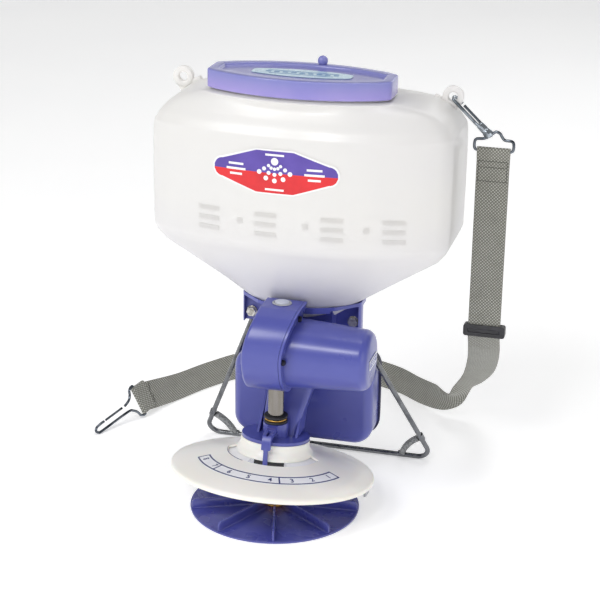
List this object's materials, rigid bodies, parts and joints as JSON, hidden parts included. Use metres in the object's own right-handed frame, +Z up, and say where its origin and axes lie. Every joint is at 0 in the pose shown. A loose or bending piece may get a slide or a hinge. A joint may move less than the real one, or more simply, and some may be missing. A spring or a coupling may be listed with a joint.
{
  "type": "salt spreader",
  "caption": "Strap-carried broadcast spreader: translucent hopper over a motor-driven spinner under an adjustable cone guard, with battery box, wire stand and shoulder strap.",
  "frame": {"origin": "on the vertical spinner shaft, at the underside of the spinner, in the plane the spreader stands on", "axes": "X to the right of the spreader seen from its front, Y from the front to the carrier's side, Z up"},
  "size_m": [0.5093, 0.5132, 0.5108],
  "materials": {
    "tank_plastic": "translucent white, moulded",
    "lid_plastic": "translucent violet-blue, glossy",
    "blue_plastic": "blue, semi-gloss moulded",
    "navy_rubber": "dark navy, soft",
    "cream_plastic": "cream, glossy moulded",
    "black_rubber": "black, soft",
    "black_plastic": "black, satin",
    "grey_plastic": "light grey, satin",
    "grey_vinyl": "grey, textured vinyl",
    "steel": "plated, satin",
    "zinc": "yellow-passivated plating",
    "brass": "machined",
    "webbing": "woven grey webbing",
    "label_print": "printed film",
    "sticker": "pale printed film",
    "cell_wrap": "black cell wrap"
  },
  "bodies": {
    "spreader": {"tank": "tank_plastic", "front_label": "label_print", "hopper_bracket": "blue_plastic", "stand_bolt_left": "steel", "stand_bolt_right": "steel", "stand_nut_left": "steel", "stand_nut_right": "steel", "outlet_chute": "blue_plastic", "drop_plate": "cream_plastic", "direction_pointer": "blue_plastic", "gear_case": "blue_plastic", "switch_bezel": "grey_plastic", "motor_housing": "blue_plastic", "motor_mount_plate": "steel", "motor_can": "steel", "motor_end_label": "sticker", "case_screw_1": "steel", "case_screw_2": "steel", "upper_bearing": "steel", "lower_bush": "brass", "shaft_sleeve": "zinc", "hub_seal": "black_rubber", "brass_ring": "brass", "dust_ring": "black_rubber", "battery_case": "blue_plastic", "battery_hinge_pin": "steel", "battery_tray": "black_plastic", "battery_cell_1": "cell_wrap", "battery_cell_2": "cell_wrap", "battery_cell_3": "cell_wrap", "battery_cell_4": "cell_wrap", "contact_strip_lower": "brass", "contact_strip_upper": "brass", "stand_frame": "steel", "eye_strip_left": "grey_vinyl", "eye_strip_right": "grey_vinyl", "strap_upper": "webbing", "strap_lower": "webbing", "strap_loop_right": "steel", "strap_hook_right": "steel", "strap_hook_left": "steel"},
    "lid": {"lid": "lid_plastic", "lid_seal": "navy_rubber", "lid_sticker": "sticker"},
    "spinner": {"spinner_shaft": "steel", "bevel_gear": "brass", "spinner_disc": "blue_plastic", "spinner_nut": "brass"},
    "rotor": {"motor_pinion": "brass"},
    "guard": {"deflector_guard": "cream_plastic", "guard_skirt": "grey_plastic"},
    "shutter": {"shutter_plate": "steel", "shutter_grip": "blue_plastic"},
    "button": {"power_button": "sticker"},
    "battery_door": {"battery_door": "navy_rubber", "battery_gasket": "navy_rubber"},
    "latch": {"battery_latch": "blue_plastic"},
    "gate_right": {"hook_gate_right": "steel"},
    "gate_left": {"hook_gate_left": "steel"},
    "buckle": {"strap_buckle": "black_plastic"}
  },
  "joints": [
    {"name": "lid_lift", "type": "slide", "parent": "spreader", "child": "lid", "axis": [0, 0, 1], "range_m": [0, 0.12]},
    {"name": "spinner_spin", "type": "hinge", "parent": "spreader", "child": "spinner", "pos_m": [0, 0, 0.1], "axis": [0, 0, 1], "continuous": true},
    {"name": "pinion_spin", "type": "hinge", "parent": "spreader", "child": "rotor", "pos_m": [0.03, 0, 0.192], "axis": [1, 0, 0], "continuous": true},
    {"name": "guard_turn", "type": "hinge", "parent": "spreader", "child": "guard", "pos_m": [-0.003, 0, 0.046], "axis": [0.039, 0.149, 0.9881], "range_deg": [-35, 35]},
    {"name": "shutter_slide", "type": "slide", "parent": "spreader", "child": "shutter", "axis": [0, 1, 0], "range_m": [0, 0.045]},
    {"name": "button_press", "type": "slide", "parent": "spreader", "child": "button", "axis": [0, 0, -1], "range_m": [0, 0.0015], "stiffness_N_per_m": 600},
    {"name": "battery_door_hinge", "type": "hinge", "parent": "spreader", "child": "battery_door", "pos_m": [0.01, 0.118, 0.0466], "axis": [-1, 0, 0], "range_deg": [0, 90]},
    {"name": "latch_slide", "type": "slide", "parent": "spreader", "child": "latch", "axis": [0, -1, 0], "range_m": [0, 0.012]},
    {"name": "gate_right_pivot", "type": "hinge", "parent": "spreader", "child": "gate_right", "pos_m": [0.1995, 0.1178, 0.4407], "axis": [0.6889, 0, 0.7249], "range_deg": [0, 10], "stiffness_Nm_per_rad": 0.05},
    {"name": "gate_left_pivot", "type": "hinge", "parent": "spreader", "child": "gate_left", "pos_m": [-0.2481, 0.1675, 0.0208], "axis": [0.8141, -0.4747, 0.3345], "range_deg": [0, 8], "stiffness_Nm_per_rad": 0.05},
    {"name": "buckle_slide", "type": "slide", "parent": "spreader", "child": "buckle", "axis": [0, 0, 1], "range_m": [0, 0.15]}
  ],
  "couplings": [
    {"joint": "pinion_spin", "follows": "spinner_spin", "ratio": 2.5}
  ]
}
